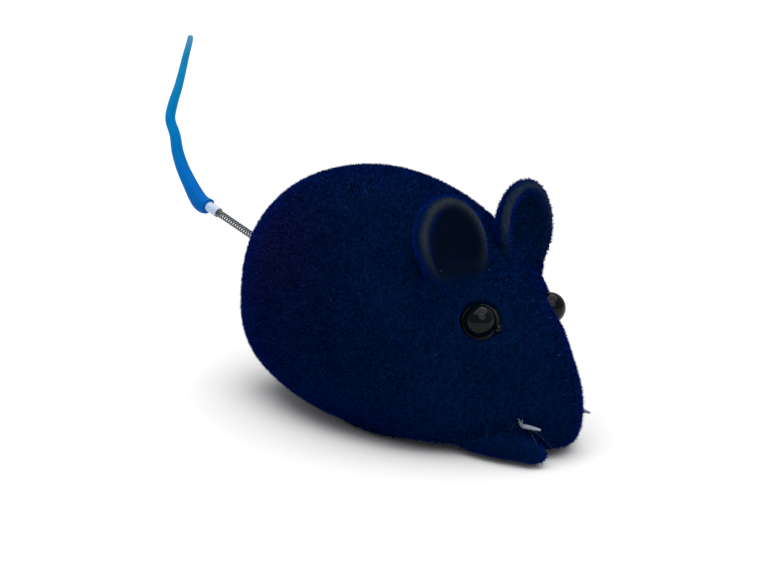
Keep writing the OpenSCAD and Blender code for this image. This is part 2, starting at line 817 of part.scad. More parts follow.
module second_arbor() {
    color([0.66, 0.66, 0.68]) translate(home)
        bar(second_at, second_radius, -plate_out - 0.3, plate_out + 0.3);
}

module second_pinion() {
    color([0.7, 0.7, 0.72]) translate(home)
        gear(second_at, pinion_teeth, great_mesh + 180 + 180 / pinion_teeth, 0.9, second_radius,
             great_y - 0.2, great_y + great_thickness + 0.2);
}

module second_wheel() {
    color([0.76, 0.62, 0.3]) translate(home)
        difference() {
            gear(second_at, second_teeth, second_mesh, 0.85, second_radius,
                 second_y, second_y + second_thickness);
            for (a = [30:60:330])
                bar(second_at + second_pitch * 0.6 * [cos(a), sin(a)], second_pitch * 0.17,
                    second_y - 1, second_y + second_thickness + 1);
        }
}

module drive_axle() {
    color([0.66, 0.66, 0.68]) translate(home)
        bar(axle_at, axle_radius, -wheel_out - 0.2, wheel_out + 0.2);
}

module drive_pinion() {
    color([0.7, 0.7, 0.72]) translate(home)
        gear(axle_at, pinion_teeth, second_mesh + 180 + 180 / pinion_teeth, 0.9, axle_radius,
             second_y - 0.15, second_y + second_thickness + 0.15);
}

/* ---------- wheels ---------- */

module drive_wheel(side) {
    y = side > 0 ? wheel_in : -wheel_out;
    rim = tyre_radius - tyre_thickness;
    dish = side > 0 ? wheel_out - 0.6 : -wheel_out - 1;
    color([0.75, 0.12, 0.1]) translate(home)
        difference() {
            bar(axle_at, rim, y, y + wheel_width);
            bar(axle_at, axle_radius, y - 1, y + wheel_width + 1);
            difference() {
                bar(axle_at, rim - 0.8, dish, dish + 1.6);
                bar(axle_at, axle_radius + 0.8, dish - 1, dish + 3);
            }
        }
}

module drive_tyre(side) {
    middle = side * (wheel_in + wheel_out) / 2;
    rim = tyre_radius - tyre_thickness;
    half = wheel_width / 2 - 0.1;
    color([0.05, 0.05, 0.05]) translate(home)
        translate([axle_x, middle, tyre_radius])
            rotate([90, 0, 0])
                rotate_extrude($fn = 64)
                    polygon([[rim, -half], [tyre_radius - 0.3, -half], [tyre_radius, -half + 0.3],
                             [tyre_radius, half - 0.3], [tyre_radius - 0.3, half], [rim, half]]);
}

module right_drive_wheel() {
    drive_wheel(-1);
}

module left_drive_wheel() {
    drive_wheel(1);
}

module right_drive_tyre() {
    drive_tyre(-1);
}

module left_drive_tyre() {
    drive_tyre(1);
}

module front_roller() {
    at = [roller_x, roller_radius];
    color([0.75, 0.12, 0.1]) translate(home)
        difference() {
            bar(at, roller_radius, -roller_width / 2, roller_width / 2);
            bar(at, roller_axle_radius + bearing_gap, -roller_width, roller_width);
        }
}

module front_roller_axle() {
    color([0.66, 0.66, 0.68]) translate(home)
        bar([roller_x, roller_radius], roller_axle_radius, -roller_width / 2 - 1.6, roller_width / 2 + 1.6);
}

/* ---------- tail ---------- */

module tail_plug() {
    color([0.1, 0.1, 0.11]) translate(home)
        difference() {
            union() {
                tail_place(-3.6)
                    cylinder(h = 3.6, r = tail_plug_radius);
                tail_place(-4.2)
                    cylinder(h = 0.9, r = tail_plug_radius + 0.8);
            }
            tail_place(-1.2)
                cylinder(h = 5, r = coil_radius + wire_radius + 0.02);
        }
}

// Part of a helix of wire, from one turn count to another
module coil(from_turn, to_turn) {
    n = 6;
    steps = round((to_turn - from_turn) * 12);
    slope = atan2(coil_pitch, 2 * PI * coil_radius);
    rings = [for (i = [0:steps])
        let (t = from_turn + (to_turn - from_turn) * i / steps, a = 360 * t)
        [for (k = [0:n - 1])
            let (q = 360 * k / n, out = wire_radius * cos(q), up = wire_radius * sin(q))
            [(coil_radius + out) * cos(a) + up * sin(slope) * sin(a),
             (coil_radius + out) * sin(a) - up * sin(slope) * cos(a),
             coil_pitch * t + up * cos(slope)]]];
    first = [coil_radius * cos(360 * from_turn), coil_radius * sin(360 * from_turn), coil_pitch * from_turn];
    final = [coil_radius * cos(360 * to_turn), coil_radius * sin(360 * to_turn), coil_pitch * to_turn];
    skin(rings, first, final);
}

coil_turns = (tail_spring_length + 2) / coil_pitch;

module tail_spring_inner() {
    color([0.35, 0.36, 0.38]) translate(home)
        tail_place(-1)
            coil(0, coil_turns / 2 - 0.03);
}

module tail_spring_outer() {
    color([0.35, 0.36, 0.38]) translate(home)
        tail_place(-1)
            coil(coil_turns / 2 + 0.03, coil_turns);
}

module tail_collar() {
    color([0.73, 0.79, 0.87]) translate(home)
        tail_place(tail_spring_length)
            difference() {
                cylinder(h = collar_length, r = tail_collar_radius);
                translate([0, 0, -1])
                    cylinder(h = 2.2, r = coil_radius + wire_radius + 0.02);
            }
}

module tail() {
    base = tail_root + (tail_spring_length + collar_length) * tail_dir;
    last_stop = len(tail_stations) - 1;
    steps = 3 * last_stop;
    sides = 16;
    function stop(i) = tail_stations[min(max(i, 0), last_stop)];
    path = [for (k = [0:steps])
        let (i = min(floor(k / 3), last_stop - 1))
        catmull(stop(i - 1), stop(i), stop(i + 1), stop(i + 2), k / 3 - i)];
    function spot(k) = base + tail_rise * [-path[k][0], 0, path[k][1]];
    // the first ring lies flat on the collar's end
    function heading(k) =
        let (d = spot(min(k + 1, steps)) - spot(max(k - 1, 0))) k == 0 ? tail_dir : d / norm(d);
    rings = [for (k = [0:steps])
        let (d = heading(k), r = tail_base_radius * path[k][2], thwart = [-d[2], 0, d[0]])
        [for (j = [0:sides - 1])
            spot(k) + r * (cos(360 * j / sides) * thwart + sin(360 * j / sides) * [0, 1, 0])]];
    tip = spot(steps) + [0, 0, tail_base_radius * 0.15];
    color([0.0, 0.32, 0.66]) translate(home)
        skin(rings, base, tip);
}

/* ---------- face ---------- */

module eye(side) {
    color([0.02, 0.02, 0.025]) translate(home)
        eye_place(side) {
            intersection() {
                translate([0, 0, eye_lift])
                    sphere(r = eye_radius, $fn = 48);
                translate([0, 0, 5])
                    cube([20, 20, 10], center = true);
            }
            translate([0, 0, -4])
                cylinder(h = 4.5, r = eye_stem_radius);
        }
}

module right_eye() {
    eye(-1);
}

module left_eye() {
    eye(1);
}

module eye_ring(side) {
    color([0.04, 0.04, 0.05]) translate(home)
        eye_place(side)
            difference() {
                cylinder(h = eye_ring_thickness, r1 = eye_ring_radius, r2 = eye_ring_radius - 0.25);
                translate([0, 0, -1])
                    cylinder(h = 5, r = eye_radius);
            }
}

module right_eye_ring() {
    eye_ring(-1);
}

module left_eye_ring() {
    eye_ring(1);
}

module eye_washer(side) {
    color([0.66, 0.66, 0.68]) translate(home)
        eye_place(side)
            translate([0, 0, -wall - 0.9])
                difference() {
                    cylinder(h = 0.5, r = eye_ring_radius * 0.62);
                    translate([0, 0, -1])
                        cylinder(h = 3, r = eye_stem_radius);
                }
}

module right_eye_washer() {
    eye_washer(-1);
}

module left_eye_washer() {
    eye_washer(1);
}

module whiskers(side) {
    knot_radius = 0.5;
    knot_length = 1.1;
    color([0.92, 0.92, 0.94]) translate(home)
        translate([whisker_x, side * whisker_y, whisker_z])
            rotate([0, 0, side * 36]) {
                translate([-knot_length / 2, 0, 0])
                    rotate([0, 90, 0])
                        cylinder(h = knot_length, r = knot_radius, $fn = 12);
                for (k = [-1:1])
                    rotate([0, 90 - 14 * k, side * 26 * k])
                        cylinder(h = whisker_length - 1.5 * abs(k), r = whisker_radius, $fn = 8);
            }
}

module right_whiskers() {
    whiskers(-1);
}

module left_whiskers() {
    whiskers(1);
}

/* ---------- assembly ---------- */

body_shell();
base_plate();
right_side_plate();
left_side_plate();
rear_pillar();
top_pillar();
upper_front_pillar();
lower_front_pillar();
spring_post();
mainspring();
winding_arbor();
ratchet_wheel();
winding_key();
key_bushing();
great_wheel();
click();
click_rivet();
click_spring();
second_arbor();
second_pinion();
second_wheel();
drive_axle();
drive_pinion();
right_drive_wheel();
left_drive_wheel();
right_drive_tyre();
left_drive_tyre();
front_roller();
front_roller_axle();
tail_plug();
tail_spring_inner();
tail_spring_outer();
tail_collar();
tail();
right_eye();
left_eye();
right_eye_ring();
left_eye_ring();
right_eye_washer();
left_eye_washer();
right_whiskers();
left_whiskers();
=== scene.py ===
import json
import math

import bmesh
import bpy
import numpy as np
from mathutils import Matrix, Vector


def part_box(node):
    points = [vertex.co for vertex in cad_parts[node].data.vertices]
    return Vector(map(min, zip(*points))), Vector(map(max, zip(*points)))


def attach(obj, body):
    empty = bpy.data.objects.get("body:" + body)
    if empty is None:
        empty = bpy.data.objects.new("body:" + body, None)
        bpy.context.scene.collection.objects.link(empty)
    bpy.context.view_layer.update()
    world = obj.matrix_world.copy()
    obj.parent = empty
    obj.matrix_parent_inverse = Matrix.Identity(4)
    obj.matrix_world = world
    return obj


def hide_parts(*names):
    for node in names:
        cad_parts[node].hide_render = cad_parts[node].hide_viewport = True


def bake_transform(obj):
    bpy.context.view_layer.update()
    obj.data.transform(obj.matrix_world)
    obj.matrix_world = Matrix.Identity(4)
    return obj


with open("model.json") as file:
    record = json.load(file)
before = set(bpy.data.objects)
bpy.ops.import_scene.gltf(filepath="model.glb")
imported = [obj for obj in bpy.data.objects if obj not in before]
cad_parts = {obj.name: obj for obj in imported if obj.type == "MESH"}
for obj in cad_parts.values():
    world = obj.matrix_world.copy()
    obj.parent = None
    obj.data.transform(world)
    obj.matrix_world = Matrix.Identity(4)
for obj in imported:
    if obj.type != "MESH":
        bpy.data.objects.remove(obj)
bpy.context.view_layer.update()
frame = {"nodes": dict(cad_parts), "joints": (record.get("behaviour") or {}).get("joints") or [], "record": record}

MM = 0.001
rng = np.random.default_rng(11)

# ---------- places, from the frame and from given offsets, sizes and angles ---

shell_low, shell_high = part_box("body_shell")
LENGTH = shell_high.x - shell_low.x
MID_Y = (shell_low.y + shell_high.y) / 2


def middle(node):
    low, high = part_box(node)
    return (low + high) / 2


def joint(name):
    """A joint's centre, in the row frame."""
    return Vector(next(j["pos_m"] for j in frame["joints"] if j["name"] == name))


# Point on the middle plane that the camera and the lights are placed around
HEART = Vector((joint("great_wheel_spin").x - 2 * MM, MID_Y, -2.5 * MM))


EYES = {"right": middle("right_eye"), "left": middle("left_eye")}
EYE_RADIUS = 2.45 * MM
EYE_TURN, EYE_TILT = math.radians(50), math.radians(30)
GLUE_DROP_AT = Vector((2.75 * MM, -1.1 * MM, 0.95 * MM))
EAR_TURN, EAR_LEAN = math.radians(5), math.radians(9)
EAR_HALF = Vector((6.8 * MM, 7.25 * MM))  # half width, half height
EAR_SLANT = 0.13  # outward shift per height
EYE_LIFT = 1.1 * MM  # an eye's centre above its seat


def side_sign(side):
    return 1 if side == "left" else -1


def ear_centre(side):
    return Vector((shell_low.x + 0.761 * LENGTH, MID_Y + side_sign(side) * 8.42 * MM, 31.49 * MM))


def facing(turn, tilt, side):
    """Unit vector turned outward from straight ahead and tilted up."""
    s = side_sign(side)
    return Vector((math.cos(tilt) * math.cos(turn), s * math.cos(tilt) * math.sin(turn), math.sin(tilt)))


# ---------- mesh helpers ----------


def add(name, mesh):
    obj = bpy.data.objects.new(name, mesh)
    bpy.context.scene.collection.objects.link(obj)
    return obj


def mesh_from(name, points, faces, smooth=True):
    """A mesh from arrays of points and of equal-sized faces."""
    mesh = bpy.data.meshes.new(name)
    points, faces = np.asarray(points, np.float32), np.asarray(faces, np.int32)
    corners = faces.shape[1]
    mesh.vertices.add(len(points))
    mesh.vertices.foreach_set("co", points.ravel())
    mesh.loops.add(faces.size)
    mesh.loops.foreach_set("vertex_index", faces.ravel())
    mesh.polygons.add(len(faces))
    mesh.polygons.foreach_set("loop_start", np.arange(0, faces.size, corners, dtype=np.int32))
    mesh.polygons.foreach_set("use_smooth", np.full(len(faces), smooth))
    mesh.update(calc_edges=True)
    mesh.validate()
    return mesh


def vertices(mesh):
    co = np.zeros(len(mesh.vertices) * 3, np.float32)
    mesh.vertices.foreach_get("co", co)
    return co.reshape(-1, 3).astype(float)


def normals(mesh):
    no = np.zeros(len(mesh.vertices) * 3, np.float32)
    mesh.vertices.foreach_get("normal", no)
    return no.reshape(-1, 3).astype(float)


def set_vertices(mesh, co):
    mesh.vertices.foreach_set("co", np.asarray(co, np.float32).ravel())
    mesh.update()


def store(mesh, name, values):
    """A number per vertex, for a material to read."""
    attribute = mesh.attributes.new(name, "FLOAT", "POINT")
    attribute.data.foreach_set("value", np.asarray(values, np.float32))


def softened(node, name, voxel, rounds):
    """The CAD node's shape with its edges rounded as moulding or tumbling leaves them."""
    obj = add(name, frame["nodes"][node].data.copy())
    obj.data.transform(Matrix.Scale(1 / MM, 4))
    remesh = obj.modifiers.new("remesh", "REMESH")
    remesh.mode = "VOXEL"
    remesh.voxel_size = voxel
    smooth = obj.modifiers.new("smooth", "SMOOTH")
    smooth.factor = 0.5
    smooth.iterations = rounds
    evaluated = obj.evaluated_get(bpy.context.evaluated_depsgraph_get())
    mesh = bpy.data.meshes.new_from_object(evaluated)
    obj.modifiers.clear()
    obj.data = mesh
    mesh.name = name
    mesh.transform(Matrix.Scale(MM, 4))
    mesh.materials.clear()
    mesh.polygons.foreach_set("use_smooth", np.full(len(mesh.polygons), True))
    mesh.update()
    return obj


def tube(name, path, radii, sides):
    """A round tube swept along a path, with a radius at each point."""
    path = np.asarray(path, float)
    radii = np.broadcast_to(np.asarray(radii, float), (len(path),))
    tangent = np.gradient(path, axis=0)
    tangent /= np.linalg.norm(tangent, axis=1)[:, None]
    first = np.cross(tangent[0], [0.3, 1.0, 0.2])
    first /= np.linalg.norm(first)
    across = [first]
    for t in tangent[1:]:
        a = across[-1] - t * np.dot(across[-1], t)
        across.append(a / np.linalg.norm(a))
    across = np.array(across)
    up = np.cross(tangent, across)
    turn = 2 * np.pi * np.arange(sides) / sides
    rings = (path[:, None] + radii[:, None, None] * (np.cos(turn)[None, :, None] * across[:, None]
             + np.sin(turn)[None, :, None] * up[:, None]))
    points = rings.reshape(-1, 3)
    i, k = np.meshgrid(np.arange(len(path) - 1), np.arange(sides), indexing="ij")
    i, k = i.ravel(), k.ravel()
    j = (k + 1) % sides
    faces = np.stack([i * sides + k, i * sides + j, (i + 1) * sides + j, (i + 1) * sides + k], 1)
    mesh = mesh_from(name, points, faces)
    fill_ends(mesh, sides, len(path))
    return add(name, mesh)


def fill_ends(mesh, sides, rings):
    """Closes both ends of a tube made of rings of points."""
    work = bmesh.new()
    work.from_mesh(mesh)
    work.verts.ensure_lookup_table()
    for start, turned in ((0, True), ((rings - 1) * sides, False)):
        ring = [work.verts[start + k] for k in range(sides)]
        work.faces.new(ring[::-1] if turned else ring)
    bmesh.ops.recalc_face_normals(work, faces=work.faces)
    work.to_mesh(mesh)
    work.free()
    mesh.polygons.foreach_set("use_smooth", np.full(len(mesh.polygons), True))


def spline(points, per_span):
    """A smooth curve through a few chosen points."""
    p = np.asarray(points, float)
    p = np.vstack([2 * p[0] - p[1], p, 2 * p[-1] - p[-2]])
    out = []
    for i in range(1, len(p) - 2):
        for t in np.arange(per_span) / per_span:
            a, b, c, d = p[i - 1], p[i], p[i + 1], p[i + 2]
            out.append(0.5 * (2 * b + (c - a) * t + (2 * a - 5 * b + 4 * c - d) * t**2
                              + (3 * b - a - 3 * c + d) * t**3))
    out.append(p[-2])
    return np.array(out)


# ---------- materials ----------


class Surface:
    """A node material with one Principled shader."""

    def __init__(self, name, color, rough, metal=0.0, **sockets):
        self.material = bpy.data.materials.new(name)
        self.material.use_nodes = True
        self.nodes = self.material.node_tree.nodes
        self.links = self.material.node_tree.links
        self.shader = self.nodes["Principled BSDF"]
        self.set("Base Color", (*color, 1))
        self.set("Roughness", rough)
        self.set("Metallic", metal)
        for socket, value in sockets.items():
            self.set(socket.replace("_", " "), value)
        self.place = self.nodes.new("ShaderNodeTexCoord").outputs["Object"]

    def set(self, socket, value):
        self.shader.inputs[socket].default_value = value

    def node(self, kind, **settings):
        made = self.nodes.new(kind)
        for key, value in settings.items():
            if key in made.inputs:
                made.inputs[key].default_value = value
            else:
                setattr(made, key, value)
        return made

    def noise(self, scale, detail=3.0, rough=0.55, stretch=None):
        """Noise in the object's own space. scale counts features per metre."""
        texture = self.node("ShaderNodeTexNoise", Scale=scale, Detail=detail, Roughness=rough)
        source = self.place
        if stretch:
            mapping = self.node("ShaderNodeMapping", Scale=stretch)
            self.links.new(source, mapping.inputs["Vector"])
            source = mapping.outputs["Vector"]
        self.links.new(source, texture.inputs["Vector"])
        return texture.outputs["Fac"]

    def ramp(self, factor, stops):
        made = self.node("ShaderNodeValToRGB")
        elements = made.color_ramp.elements
        while len(elements) < len(stops):
            elements.new(0.5)
        for element, (at, color) in zip(elements, stops):
            element.position = at
            element.color = (*color, 1) if len(color) == 3 else color
        self.links.new(factor, made.inputs["Fac"])
        return made.outputs["Color"]

    def range(self, value, low, high, to_low=0.0, to_high=1.0):
        made = self.node("ShaderNodeMapRange")
        for key, number in (("From Min", low), ("From Max", high), ("To Min", to_low), ("To Max", to_high)):
            made.inputs[key].default_value = number
        self.links.new(value, made.inputs["Value"])
        return made.outputs["Result"]

    def mix(self, factor, a, b):
        made = self.node("ShaderNodeMix", data_type="RGBA")
        for index, source in ((0, factor), (6, a), (7, b)):
            if isinstance(source, tuple):
                made.inputs[index].default_value = (*source, 1)
            elif isinstance(source, (int, float)):
                made.inputs[index].default_value = source
            else:
                self.links.new(source, made.inputs[index])
        return made.outputs[2]

    def attribute(self, name):
        return self.node("ShaderNodeAttribute", attribute_name=name).outputs["Fac"]

    def bump(self, height, depth, strength=1.0):
        """Bump from a height of 0 to 1, whose full depth is given in metres."""
        made = self.node("ShaderNodeBump", Strength=strength, Distance=depth)
        self.links.new(height, made.inputs["Height"])
        self.links.new(made.outputs["Normal"], self.shader.inputs["Normal"])

    def feed(self, socket, source):
        self.links.new(source, self.shader.inputs[socket])


def flock_skin():
    """Vinyl under velvet: dark navy pile, thin and nearly black inside the ears, and grey on their rims, where the
    pile is rubbed off the vinyl and a highlight is painted on.
    """
    s = Surface("velvet_skin", (0.0005, 0.003, 0.015), 0.95, Sheen_Weight=0.5, Sheen_Roughness=0.3,
                Sheen_Tint=(0.0, 0.05, 0.55, 1), Specular_IOR_Level=0.0)
    patches = s.noise(90, 3)
    pile = s.noise(2600, 2, 0.7)
    blue = s.ramp(patches, [(0.3, (0.0004, 0.0085, 0.037)), (0.7, (0.0009, 0.0125, 0.056))])
    plum = s.range(s.attribute("plum"), 0, 1)
    tinted = s.mix(plum, blue, (0.014, 0.011, 0.05))
    vinyl = s.mix(s.noise(700, 4), (0.0025, 0.0055, 0.011), (0.0012, 0.004, 0.014))
    # grey of the ear rims: rubbed bare vinyl with a painted highlight mixed into its colour
    worn_and_lit = s.mix(s.noise(500, 3), (0.01, 0.017, 0.028), (0.032, 0.04, 0.05))
    bare = s.mix(s.attribute("wear_and_highlight"), vinyl, worn_and_lit)
    s.feed("Base Color", s.mix(s.attribute("bare"), tinted, bare))
    s.feed("Roughness", s.range(s.attribute("bare"), 0, 1, 0.95, 0.55))
    s.bump(pile, 0.12 * MM, 0.8)
    return s.material


def flock_fibres():
    """The pile itself, with painted glints, a brighter blue on random fibres standing in for fibres that catch the
    light, and a few specks of pale dust.
    """
    s = Surface("velvet_pile", (0.0002, 0.004, 0.025), 0.8, Specular_IOR_Level=0.0, Sheen_Weight=0.6,
                Sheen_Roughness=0.3, Sheen_Tint=(0.0, 0.05, 0.65, 1))
    glint_and_dust = s.attribute("glint_and_dust")
    # the brighter blues are painted glints on random fibres; the last, palest stop is dust
    blue = s.ramp(glint_and_dust, [(0.0, (0.0002, 0.006, 0.032)), (0.75, (0.0003, 0.0145, 0.1)),
                          (0.9975, (0.0005, 0.022, 0.17)), (0.9993, (0.12, 0.17, 0.3))])
    plum = s.mix(s.attribute("plum"), blue, (0.022, 0.012, 0.085))
    s.feed("Base Color", plum)
    s.bump(s.noise(9000, 1), 0.02 * MM, 0.3)
    return s.material


def plastic(name, color, other, rough, scale=600.0, depth=0.02, **sockets):
    """Moulded plastic with a faint mottle and an uneven gloss."""
    s = Surface(name, color, rough, **sockets)
    s.feed("Base Color", s.mix(s.noise(scale / 4, 3), color, other))
    s.feed("Roughness", s.range(s.noise(scale / 2, 4), 0.3, 0.7, rough * 0.8, min(1, rough * 1.25)))
    s.bump(s.noise(scale * 3, 3), depth * MM, 0.4)
    return s.material


def metal(name, color, other, rough, grain=(1.0, 1.0, 1.0), depth=0.008):
    """Metal with fine scratches along one direction and a slight stain."""
    s = Surface(name, color, rough, 1.0)
    scratch = s.noise(2500, 3, 0.6, grain)
    s.feed("Base Color", s.mix(s.noise(260, 4), color, other))
    s.feed("Roughness", s.range(scratch, 0.25, 0.75, rough * 0.7, min(1, rough * 1.5)))
    s.bump(scratch, depth * MM, 0.5)
    return s.material


def tail_rubber():
    """Soft tinted rubber, deep blue at the thick root and paler at the thin tip, with faint mould marks."""
    low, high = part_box("tail")
    s = Surface("tail_rubber", (0, 0.13, 0.45), 0.45, Subsurface_Weight=0.15, Subsurface_Scale=0.6 * MM,
                Specular_IOR_Level=0.03)
    split = s.node("ShaderNodeSeparateXYZ")
    s.links.new(s.place, split.inputs["Vector"])
    rise = s.range(split.outputs["Z"], low.z, high.z)
    blue = s.ramp(rise, [(0.0, (0.0, 0.1, 0.42)), (0.25, (0.0, 0.15, 0.5)), (0.6, (0.0, 0.23, 0.55)),
                         (0.9, (0.01, 0.27, 0.55)), (1.0, (0.1, 0.33, 0.52))])
    s.feed("Base Color", s.mix(s.range(s.noise(450, 3), 0.45, 0.75, 0, 0.25), blue, (0.0, 0.09, 0.36)))
    s.feed("Roughness", s.range(s.noise(900, 3), 0.3, 0.7, 0.38, 0.55))
    s.bump(s.noise(1400, 4), 0.05 * MM, 0.5)
    return s.material


def bead_gloss(name, rough):
    """Black glass or glue: uneven gloss, and a wavy surface where it is rougher."""
    s = Surface(name, (0.003, 0.004, 0.005), rough, Specular_IOR_Level=0.13)
    s.feed("Roughness", s.range(s.noise(500, 3), 0.35, 0.7, rough * 0.7, rough * 1.4))
    s.feed("Base Color", s.mix(s.noise(200, 2), (0.001, 0.0022, 0.0035), (0.002, 0.0035, 0.005)))
    s.bump(s.noise(900, 2), 0.1 * MM * rough, 0.4)
    return s.material


def nylon():
    s = Surface("clear_nylon", (0.85, 0.88, 0.95), 0.25, Transmission_Weight=0.75, IOR=1.5, Alpha=0.07)
    s.feed("Base Color", s.mix(s.noise(1500, 2), (0.8, 0.83, 0.9), (0.92, 0.94, 0.98)))
    return s.material


def tuft_white():
    s = Surface("tuft_white", (0.3, 0.33, 0.4), 0.5)
    s.feed("Base Color", s.mix(s.noise(3000, 2), (0.1, 0.13, 0.2), (0.42, 0.46, 0.55)))
    s.bump(s.noise(4000, 2), 0.03 * MM, 0.5)
    return s.material


SKIN = flock_skin()
PILE = flock_fibres()
BASE = plastic("base_plastic", (0.012, 0.012, 0.013), (0.02, 0.02, 0.022), 0.5, 900, 0.03)
RED = plastic("wheel_plastic", (0.42, 0.016, 0.012), (0.34, 0.012, 0.01), 0.28, 500, 0.012, Coat_Weight=0.3)
TYRE = plastic("tyre_rubber", (0.012, 0.012, 0.013), (0.022, 0.021, 0.02), 0.75, 1200, 0.05)
# the collar's pale blue-white is a painted highlight: glare on the tail's root painted into the plastic's colour
COLLAR_WITH_GLARE = plastic("collar_plastic", (0.42, 0.55, 0.72), (0.5, 0.6, 0.75), 0.25, 500, 0.02,
                 Subsurface_Weight=0.2, Subsurface_Scale=0.5 * MM)
BEAD = bead_gloss("bead_gloss", 0.08)
GLUE = bead_gloss("dried_glue", 0.22)
TAIL = tail_rubber()
NYLON = nylon()
TUFT = tuft_white()
STEEL = metal("zinc_steel", (0.6, 0.6, 0.61), (0.5, 0.5, 0.52), 0.35, (1, 8, 1))
BLUED = metal("spring_steel", (0.22, 0.23, 0.26), (0.14, 0.15, 0.19), 0.3, (1, 6, 6))
COIL = metal("coil_steel", (0.2, 0.21, 0.23), (0.12, 0.13, 0.15), 0.35, (6, 1, 6))
BRASS = metal("stamped_brass", (0.72, 0.52, 0.21), (0.58, 0.39, 0.15), 0.3, (1, 6, 1))
NICKEL = metal("nickel_plate", (0.74, 0.73, 0.71), (0.62, 0.6, 0.57), 0.2, (1, 1, 7))

SLOT_MATERIAL = {
    "flock": SKIN, "base_plastic": BASE, "steel": STEEL, "spring_steel": BLUED, "brass": BRASS,
    "key_steel": NICKEL, "wheel_plastic": RED, "tyre_rubber": TYRE, "tail_rubber": TAIL,
    "collar_plastic": COLLAR_WITH_GLARE, "bead": BEAD, "nylon": NYLON,
}
NODE_SLOT = {part["node"]: part["material_slot"] for part in frame["record"]["subparts"]}
NODE_BODY = {node: body for body, nodes in frame["record"]["behaviour"]["bodies"].items() for node in nodes}


def dress(obj, material):
    obj.data.materials.clear()
    obj.data.materials.append(material)


def stand_for(obj, node, material):
    """obj takes a CAD node's place: its body and its look."""
    dress(obj, material)
    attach(obj, NODE_BODY[node])
    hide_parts(node)


# ---------- shell and pile ----------


def ear_coordinates(co, side):
    """Offsets across and up the ear as shares of its half size, the distance ahead, and the ear's axis."""
    out = facing(EAR_TURN, EAR_LEAN, side)
    wide = Vector((-out.y, out.x, 0)).normalized()
    tall = out.cross(wide)
    rel = co - np.array(ear_centre(side))
    up = rel @ np.array(tall)
    across = rel @ np.array(wide) - side_sign(side) * EAR_SLANT * up
    return across / EAR_HALF.x, up / EAR_HALF.y, rel @ np.array(out), np.array(out)


def skin_masks(co, no):
    """How bare, how rubbed and painted with a highlight, and how plum-tinted the pile is at each point."""
    bare, wear_and_highlight = np.zeros(len(co)), np.zeros(len(co))
    for side in EYES:
        across, up, ahead, out = ear_coordinates(co, side)
        radius = np.hypot(across, up)
        inner = -side_sign(side) * across  # 1 on the edge nearest the other ear
        # the pile is whole at the ear's foot, where the hollow runs out into the head
        upper = np.clip((up + 0.86) / 0.25, 0, 1)
        front = (ahead > -4.5 * MM) & (ahead < 1.2 * MM) & (no @ out > 0.0) & (radius < 1.04)
        # the left ear's hollow keeps most of its pile, and its inner edge has lost a broad band
        cup = np.clip((1.02 - radius) / 0.1, 0, 1) * front * upper * (1 if side == "right" else 0.25)
        middle_of_rim, half = (0.86, 0.1 + 0.12 * np.clip(inner, 0, 1)) if side == "left" else (0.88, 0.1)
        # the rims' grey is partly a painted highlight: it is strongest at the top of each ear and fades out
        # towards its foot
        high = np.clip((up + 0.7) / 0.9, 0, 1)
        rim = np.exp(-(((radius - middle_of_rim) / half) ** 2)) * high * (ahead > -1.6 * MM) * front
        bare = np.maximum(bare, np.maximum(cup, 0.9 * rim if side == "left" else cup))
        wear_and_highlight = np.maximum(wear_and_highlight, rim)
    spot = np.array([shell_low.x + 0.22 * LENGTH, MID_Y - 13 * MM, 26 * MM])
    plum = 0.5 * np.exp(-(((co - spot) / np.array([13, 9, 9]) / MM) ** 2).sum(1))
    return bare, wear_and_highlight, plum


def make_skin():
    obj = softened("body_shell", "velvet_shell", 0.42, 10)
    mesh = obj.data
    co, no = vertices(mesh), normals(mesh)
    for name, values in zip(("bare", "wear_and_highlight", "plum"), skin_masks(co, no)):
        store(mesh, name, values)
    stand_for(obj, "body_shell", SKIN)
    return obj


def outside(co, no):
    """Whether a point is on the shell's outer side: the inner wall faces the middle of the hollow."""
    # low down, the feet's tops also face away from the middle
    middle_z = np.where(co[:, 2] < 5 * MM, co[:, 2] - 3 * MM, 14 * MM)
    end = 12 * MM
    middle_x = np.clip(co[:, 0], shell_low.x + end, shell_high.x - end)
    core = np.array([middle_x, np.full(len(co), MID_Y), middle_z]).T
    away = ((co - core) * no).sum(1) > 0
    ear = np.zeros(len(co), bool)
    for side in EYES:
        across, up, ahead, _ = ear_coordinates(co, side)
        ear |= (np.hypot(across, up) < 1.25) & (np.abs(ahead) < 6 * MM) & (co[:, 2] > 24 * MM)
    return (away | ear) & (co[:, 2] > 0.9 * MM)


PILE_COUNT = 195000  # fibres in a layer
PILE_LAYERS = {"under": (0.4 * MM, 0.08 * MM), "upper": (0.6 * MM, 0.07 * MM)}  # length, width
# The pile leans together in tufts: each tuft's cell picks one of these leans
TUFT_SIZE = 0.7 * MM
TUFT_LEANS = rng.normal(0, 0.3, (4096, 3))
CELL_HASH = np.array([73856093, 19349663, 83492791])  # large primes that scatter the cells' numbers


